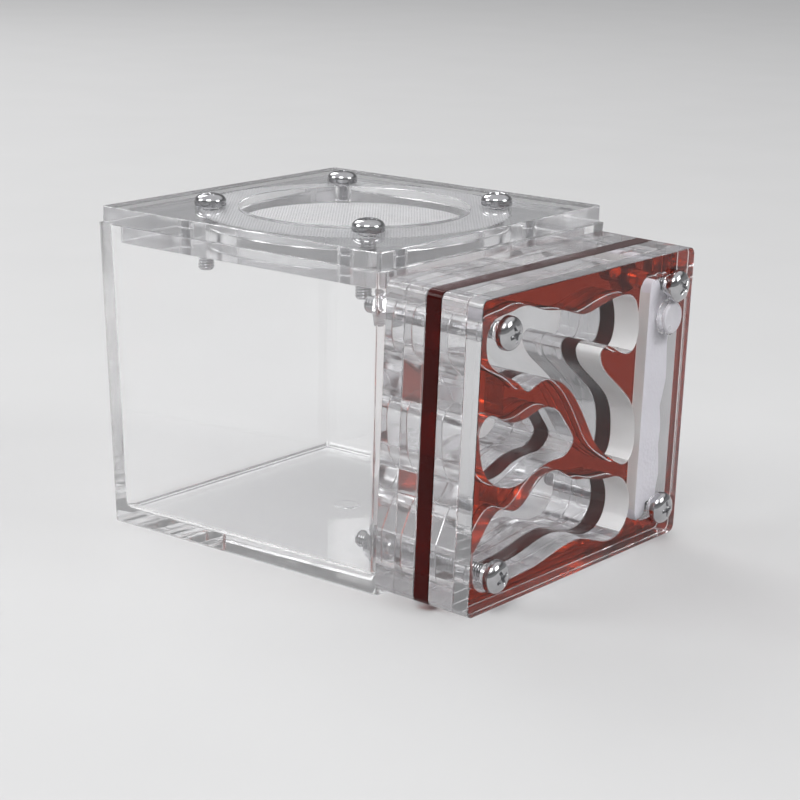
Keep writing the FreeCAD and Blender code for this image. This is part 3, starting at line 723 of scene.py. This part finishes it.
# %% Hexagon nuts
NUT_HEIGHT = 2.4
NUT_HALF_WIDTH = 2.75
NUT_COLUMNS = 72
# The cone that turns the corners off starts this far inside the flats at each
# face, and widens by the tangent of 60 degrees.
CONE_INSIDE = 0.1
CONE_SLOPE = 1.732
# Heights of the rings near a face, and the bore's play and lead-in.
NEAR_FACE = np.array([0.0, 0.08, 0.2, 0.35])
BORE_PLAY = 0.02
BORE_LEAD = 0.15


def nut_rings(corner):
    """Rings round the loop of a nut's section: outside, top, thread, bottom.

    corner is where one of its corners points, as an angle from across.
    """
    turns = np.arange(NUT_COLUMNS) / NUT_COLUMNS
    angle = 2 * np.pi * turns
    from_flat = (angle - corner) % (np.pi / 3) - np.pi / 6
    hexagon = NUT_HALF_WIDTH / np.cos(from_flat)
    level = np.concatenate([NEAR_FACE, NUT_HEIGHT - NEAR_FACE[::-1]])
    from_end = np.minimum(level, NUT_HEIGHT - level)[:, None]
    outside = np.minimum(hexagon, NUT_HALF_WIDTH - CONE_INSIDE + from_end * CONE_SLOPE)
    down = np.linspace(NUT_HEIGHT, 0.0, 38)[:, None]
    bore = thread_radius(down, turns[None, :]) + BORE_PLAY
    bore = np.maximum(bore, SHANK_RADIUS + BORE_LEAD - np.minimum(down, NUT_HEIGHT - down))
    radius = np.vstack([outside, bore])
    height = np.concatenate([level, down[:, 0]])[:, None] + 0 * angle
    return np.stack([radius * np.cos(angle), radius * np.sin(angle), height], -1)


# How far each nut is turned from having a corner straight at the side wall.
NUT_TURNS = {"nest_nut_1": 0.24, "nest_nut_2": -0.1, "nest_nut_3": 0.0, "nest_nut_4": 0.15}
for node, corner in NUT_TURNS.items():
    place = block_place(node)
    rings = place(nut_rings(corner), block_box(node)[0][1])
    nut = closed_surface(node + "_steel", [(rings, True)], 30)
    hand_over(nut, node, "plated_steel", plated_steel)
    print(node, len(nut.data.polygons), "faces")

# %% [markdown]
# ## The woven vent mesh
# The vent is a round of woven wire. It could be a disc with a pattern, but light
# goes through its holes and it shows its weave up close. So it is two sets of
# wires, one each way, and each is a tube whose middle line rises over one
# crossing and dips under the next. All the wires of a set are worked out at
# once: a ring of three points at each crossing, with the height a plus or minus
# by whether the crossing's two numbers add up to an even number.

# %% Woven wires
WEAVE_PITCH = 0.51
WIRE_RADIUS = 0.075
# The round of mesh was laid in with its wires turned this far from the box's sides.
WEAVE_TURN = math.radians(38.4)
mesh_corners = vertices_of("vent_mesh")
mesh_middle = (mesh_corners.min(0) + mesh_corners.max(0)) / 2
mesh_radius = np.ptp(mesh_corners[:, 0]) / 2 - 0.05


def wire_set(first_way):
    """Rings and faces of all the wires that run one way."""
    reach = int(mesh_radius / WEAVE_PITCH)
    points, faces, start = [], [], 0
    for number in range(-reach, reach + 1):
        aside = number * WEAVE_PITCH
        half = int(math.sqrt(max(mesh_radius ** 2 - aside ** 2, 0.0)) / WEAVE_PITCH)
        if half < 2:
            continue
        crossing = np.arange(-half, half + 1)
        over = np.where((crossing + number) % 2 == 0, 1.0, -1.0) * (1.0 if first_way else -1.0)
        angle = 2 * np.pi * np.arange(3) / 3 + np.pi / 2
        along = (crossing * WEAVE_PITCH)[:, None] + 0 * angle
        sideways = aside + WIRE_RADIUS * np.cos(angle) + 0 * along
        height = (over * WIRE_RADIUS * 0.9)[:, None] + WIRE_RADIUS * np.sin(angle)
        ring = np.stack([along, sideways, height] if first_way else [sideways, along, height], -1)
        quads = ring_faces(len(crossing), 3, False)
        ends = [[2, 1, 0], [len(crossing) * 3 - 3, len(crossing) * 3 - 2, len(crossing) * 3 - 1]]
        if not first_way:
            quads = quads[:, ::-1]
            ends = [end[::-1] for end in ends]
        points.append(ring.reshape(-1, 3))
        faces += (quads[:, ::-1] + start).tolist() + [[corner + start for corner in end] for end in ends]
        start += ring.size // 3
    cosine, sine = math.cos(WEAVE_TURN), math.sin(WEAVE_TURN)
    turned = np.array([[cosine, sine, 0.0], [-sine, cosine, 0.0], [0.0, 0.0, 1.0]])
    return np.vstack(points) @ turned + mesh_middle, faces


for name, first_way, steel in (("vent_mesh_warp", True, warp_steel_painted_shade), ("vent_mesh_weft", False, weft_steel)):
    points, faces = wire_set(first_way)
    wires = mesh_from(name, points, faces, 180)
    hand_over(wires, "vent_mesh", "woven_steel", steel)
    print(name, len(faces), "faces")

# %% [markdown]
# ## The sponge
# A strip of fine white foam stands in the slot and holds water. It was cut by
# hand, so its sides wander, and its edges are soft. A box with a bump would have
# hard corners, so it is a stack of sections from foot to top, each a rounded
# rectangle whose right side follows the cut. Slow noise moves the whole surface
# a little, and the pores are left to the finish.

# %% Foam finish
foam, tree, shader, output = new_material("damp_foam")
pores = add_node(tree, "ShaderNodeTexVoronoi", Scale=1500.0)
tree.links.new(place_texture(tree, EVEN), pores.inputs["Vector"])
stains = noise_at(tree, place_texture(tree, EVEN), 160.0, 4.0)
tree.links.new(blend_colours(tree, stains, (0.66, 0.645, 0.69), (0.78, 0.765, 0.81)), shader.inputs["Base Color"])
tree.links.new(bump_from(tree, pores.outputs["Distance"], 0.00012, 0.6), shader.inputs["Normal"])
shader.inputs["Roughness"].default_value = 0.75
shader.inputs["Subsurface Weight"].default_value = 0.3
shader.inputs["Subsurface Radius"].default_value = (0.001, 0.001, 0.001)
tree.links.new(shader.outputs["BSDF"], output.inputs["Surface"])
print("foam finish:", foam.name)

# %% The sponge's shape


def slow_waves(points, seed):
    """A smooth wander: the sum of five sine waves in directions from a seed."""
    rng = np.random.default_rng(seed)
    ways = rng.normal(size=(5, 3)) * 0.55
    shift = rng.uniform(0, 2 * np.pi, 5)
    return np.sin(points @ ways.T + shift).sum(-1) / 5


# The sponge's left side, a hair clear of the slot's wall that it clings to, its
# full width, and where its right side is beside a screw. The screws are below and
# above a gap, up the block. The cut side gives, for shares of that gap, how far in
# the cut goes.
SPONGE_LEFT = SLOT_WALL + 0.02
SPONGE_WIDTH = 7.7
RIGHT_BY_SCREW = 23.1
SCREW_GAP = (7.6, 44.8)
# How soon the two ends close, and how square a section is: nearer zero is squarer.
END_ROUND = 2.2
SQUARENESS = 0.16
CUT_SIDE = [
    (0.0, 0.9), (0.05, 0.75), (0.1, 0.2), (0.18, 0.52), (0.25, 1.0), (0.32, 0.65), (0.385, 0.9), (0.445, 1.5),
    (0.5, 0.7), (0.57, 0.0), (0.66, 0.25), (0.77, 0.45), (0.9, 0.45), (1.0, 0.9),
]


def squared(wave):
    """A sine or cosine drawn out towards one, by a small power of its size."""
    return np.sign(wave) * np.abs(wave) ** SQUARENESS


def sponge_rings(node):
    """Sections of the sponge from foot to top, in the block's frame.

    Each goes round a squared circle: the cosine and sine of the angle, each
    drawn out towards one, times the half width and half depth at that height.
    The half width closes near both ends as a quarter circle does.
    """
    low, high = block_box(node)
    share = (1 - np.cos(np.linspace(0.02, np.pi - 0.02, 150))) / 2
    up = low[2] + share * (high[2] - low[2])
    end = np.minimum(up - low[2], high[2] - up)
    near_end = np.clip(end / END_ROUND, 0.0, 1.0)
    closing = np.sqrt(1 - (1 - near_end) ** 2)
    stretch = (up - SCREW_GAP[0]) / (SCREW_GAP[1] - SCREW_GAP[0])
    cut = np.interp(stretch, *np.array(CUT_SIDE).T)
    beside_screw = np.clip((np.abs(stretch - 0.5) - 0.5) / 0.02, 0.0, 1.0)
    right = (SPONGE_LEFT + SPONGE_WIDTH - cut) * (1 - beside_screw) + RIGHT_BY_SCREW * beside_screw
    middle = (SPONGE_LEFT + right) / 2
    half = (right - SPONGE_LEFT) / 2 * (0.35 + 0.65 * closing)
    depth = (high[1] - low[1]) / 2 * (0.8 + 0.2 * closing)
    angle = 2 * np.pi * np.arange(72) / 72
    across = middle[:, None] + half[:, None] * squared(np.cos(angle))
    outward = (low[1] + high[1]) / 2 + depth[:, None] * squared(np.sin(angle))
    return np.stack([across, outward, up[:, None] + 0 * angle], -1)


print("the sponge stands", round(SPONGE_LEFT - SLOT_WALL, 3), "mm clear of the slot's wall")

# %% The sponge
rings = sponge_rings("hydration_sponge")
wander = 0.06 * slow_waves(rings, 4) * np.clip((rings[..., 0] - SPONGE_LEFT) / 2.0, 0.0, 1.0)
rings = rings + wander[..., None] * np.array([1.0, 0.5, 0.3])
sponge = closed_surface("hydration_sponge_foam", [(from_block(rings), False)], 60)
hand_over(sponge, "hydration_sponge", "white_foam", foam)
print("sponge:", len(sponge.data.polygons), "faces")

# %% [markdown]
# ## The watering plug
# A soft silicone plug closes the port through which the sponge is watered. It is
# a turned piece: its profile goes out along the back face, along the side, round
# a soft edge and in over a face that dips a little, and each ring is that radius
# all round.

# %% Silicone finish
silicone, tree, shader, output = new_material("satin_silicone")
cloud = noise_at(tree, place_texture(tree, EVEN), 400.0, 4.0)
tree.links.new(blend_colours(tree, cloud, (0.70, 0.69, 0.73), (0.80, 0.79, 0.83)), shader.inputs["Base Color"])
tree.links.new(remap(tree, cloud, 0.3, 0.7, 0.25, 0.4), shader.inputs["Roughness"])
shader.inputs["Transmission Weight"].default_value = 0.25
shader.inputs["IOR"].default_value = 1.41
tree.links.new(bump_from(tree, cloud, 0.00002), shader.inputs["Normal"])
shader.inputs["Subsurface Weight"].default_value = 0.2
shader.inputs["Subsurface Radius"].default_value = (0.001, 0.001, 0.001)
tree.links.new(shader.outputs["BSDF"], output.inputs["Surface"])
print("silicone finish:", silicone.name)

# %% The plug
PLUG_EDGE = 0.4
PLUG_BACK_EDGE = 0.2
FRONT_DIP = 0.12


def plug_rings(radius, length):
    """Rings of radius and height along a turned profile, from back to front.

    The soft edge is a quarter circle. The front face falls towards its middle, by
    its dip times one less the share of the radius.
    """
    bend = np.linspace(0, np.pi / 2, 7)
    edge = np.stack([radius - PLUG_EDGE + PLUG_EDGE * np.cos(bend),
                     length - PLUG_EDGE + PLUG_EDGE * np.sin(bend)], -1)
    inward = np.linspace(radius - 0.55, 0.1, 12)
    front = np.stack([inward, length - FRONT_DIP * (1 - inward / radius)], -1)
    profile = np.vstack([[[radius - PLUG_BACK_EDGE, 0.0], [radius, PLUG_BACK_EDGE]], edge, front])
    angle = 2 * np.pi * np.arange(72) / 72
    return np.stack([profile[:, :1] * np.cos(angle), profile[:, :1] * np.sin(angle),
                     profile[:, 1:] + 0 * angle], -1)


low, high = block_box("hydration_plug")
rings = block_place("hydration_plug")(plug_rings((high[0] - low[0]) / 2, high[1] - low[1]), low[1])
plug = closed_surface("hydration_plug_silicone", [(rings, False)], 50)
hand_over(plug, "hydration_plug", "white_silicone", silicone)
print("plug:", len(plug.data.polygons), "faces")

# %% [markdown]
# ## The floor
# The habitat stands on a plain pale sheet that reaches far past the view. It could
# be white and lit until it clips, but then its shadow would go. So its colour is
# a pale grey with a faint cloud in it.

# %% Floor
# A hair below the box, so that the two flat faces never lie in one plane.
UNDER = -0.00004
FAR = 3
floor_mesh = bpy.data.meshes.new("floor")
floor_corners = [(-FAR, -FAR, UNDER), (FAR, -FAR, UNDER), (FAR, FAR, UNDER), (-FAR, FAR, UNDER)]
floor_mesh.from_pydata(floor_corners, [], [(0, 1, 2, 3)])
floor = bpy.data.objects.new("floor", floor_mesh)
bpy.context.scene.collection.objects.link(floor)
pale, tree, shader, output = new_material("pale_floor")
grain = noise_at(tree, place_texture(tree, EVEN), 25.0, 5.0)
tree.links.new(blend_colours(tree, grain, (0.53, 0.53, 0.53), (0.56, 0.56, 0.56)), shader.inputs["Base Color"])
shader.inputs["Roughness"].default_value = 0.8
tree.links.new(shader.outputs["BSDF"], output.inputs["Surface"])
floor_mesh.materials.append(pale)
print("floor:", 2 * FAR, "m square, top at", UNDER / MM, "mm")

# %% [markdown]
# ## The room
# Clear plastic needs something to bend: under an even white sky its edges
# disappear. So the room goes by height. It is a middle grey up to the horizon,
# darker in a band above it, and bright overhead, as a room with a soft overhead
# light is, and the edges pick up greys from it.

# %% Room
# The sine of a direction's height over the horizon, and how pale the room is there.
ROOM_LEVELS = [(0.0, 0.40), (0.27, 0.32), (0.36, 0.16), (0.46, 0.20), (0.60, 0.9), (1.0, 1.0)]
ROOM_STRENGTH = 0.8
room = bpy.data.worlds.new("room")
bpy.context.scene.world = room
room.use_nodes = True
tree = room.node_tree
tree.nodes.clear()
direction = tree.nodes.new("ShaderNodeTexCoord")
split = tree.nodes.new("ShaderNodeSeparateXYZ")
tree.links.new(direction.outputs["Generated"], split.inputs["Vector"])
sky = tree.nodes.new("ShaderNodeValToRGB")
while len(sky.color_ramp.elements) < len(ROOM_LEVELS):
    sky.color_ramp.elements.new(0.5)
for element, (place, level) in zip(sky.color_ramp.elements, ROOM_LEVELS):
    element.position = place
    element.color = (level, level, level * 1.015, 1.0)
tree.links.new(split.outputs["Z"], sky.inputs["Fac"])
background = tree.nodes.new("ShaderNodeBackground")
tree.links.new(sky.outputs["Color"], background.inputs["Color"])
background.inputs["Strength"].default_value = ROOM_STRENGTH
output = tree.nodes.new("ShaderNodeOutputWorld")
tree.links.new(background.outputs["Background"], output.inputs["Surface"])
print("room:", len(ROOM_LEVELS), "levels at strength", ROOM_STRENGTH)

# %% [markdown]
# ## The lamps
# One lamp would leave the far sides of the screws black. Four large soft ones, the
# strongest above on the left, bring the level to one at which a colour shows
# about as it is written, and each leaves a soft window on the bright steel.

# %% Lamps
LOOKED_AT = Vector((0, 0, 0.03))


def add_lamp(name, place, size, watts):
    """A square soft lamp that looks at the middle of the habitat."""
    data = bpy.data.lights.new(name, "AREA")
    data.size = size
    data.energy = watts
    lamp = bpy.data.objects.new(name, data)
    bpy.context.scene.collection.objects.link(lamp)
    lamp.location = place
    away = lamp.location - LOOKED_AT
    lamp.rotation_euler = away.to_track_quat("Z", "Y").to_euler()


add_lamp("key", (-0.75, -0.35, 1.05), 0.55, 7.0)
add_lamp("fill", (0.3, -1.15, 0.75), 0.6, 5.5)
add_lamp("back", (0.35, 0.9, 0.8), 0.5, 4.0)
add_lamp("side", (-0.62, 0.62, 0.58), 0.45, 3.5)

# %% [markdown]
# ## The camera
# The camera looks down a little on the corner between the box and the nest, from
# far enough away that upright edges stay nearly upright. It could be turned by
# eye. Here its three directions are worked out from an azimuth, an elevation and
# a roll, and it stands back from a target along the first of them.

# %% Camera
TARGET = np.array([0.0, -2.5, 26.0])
DISTANCE = 397.47
TO_RIGHT, TO_UP = 6.702, -3.140
AZIMUTH, ELEVATION, ROLL = (math.radians(angle) for angle in (-51.58, 14.735, -1.0616))
back = np.array([math.sin(AZIMUTH) * math.cos(ELEVATION), -math.cos(AZIMUTH) * math.cos(ELEVATION),
                 math.sin(ELEVATION)])
right = np.array([math.cos(AZIMUTH), math.sin(AZIMUTH), 0.0])
up = np.cross(back, right)
rolled_right = math.cos(ROLL) * right - math.sin(ROLL) * up
rolled_up = math.sin(ROLL) * right + math.cos(ROLL) * up
place = TARGET + DISTANCE * back + TO_RIGHT * rolled_right + TO_UP * rolled_up
camera_data = bpy.data.cameras.new("camera")
camera_data.lens = 99.05
camera_data.sensor_width = 36.0
camera_data.clip_start = 0.01
camera = bpy.data.objects.new("camera", camera_data)
bpy.context.scene.collection.objects.link(camera)
turn = Matrix([rolled_right, rolled_up, back]).transposed().to_4x4()
turn.translation = place * MM
camera.matrix_world = turn
bpy.context.scene.camera = camera
print("camera:", place.round(1).tolist(), "mm, lens", round(camera_data.lens, 2))

# %% [markdown]
# ## How far light is followed
# A ray that looks through the nest crosses face after face, and bounces many
# times inside a cut edge. Where it is given up too soon the plastic comes out
# black, so the limits are higher than usual.

# %% Depth of the light paths and the view
scene = bpy.context.scene
scene.cycles.max_bounces = 40
scene.cycles.transmission_bounces = 40
scene.cycles.glossy_bounces = 16
scene.cycles.transparent_max_bounces = 40
scene.view_settings.view_transform = "Standard"
print("scene ready")
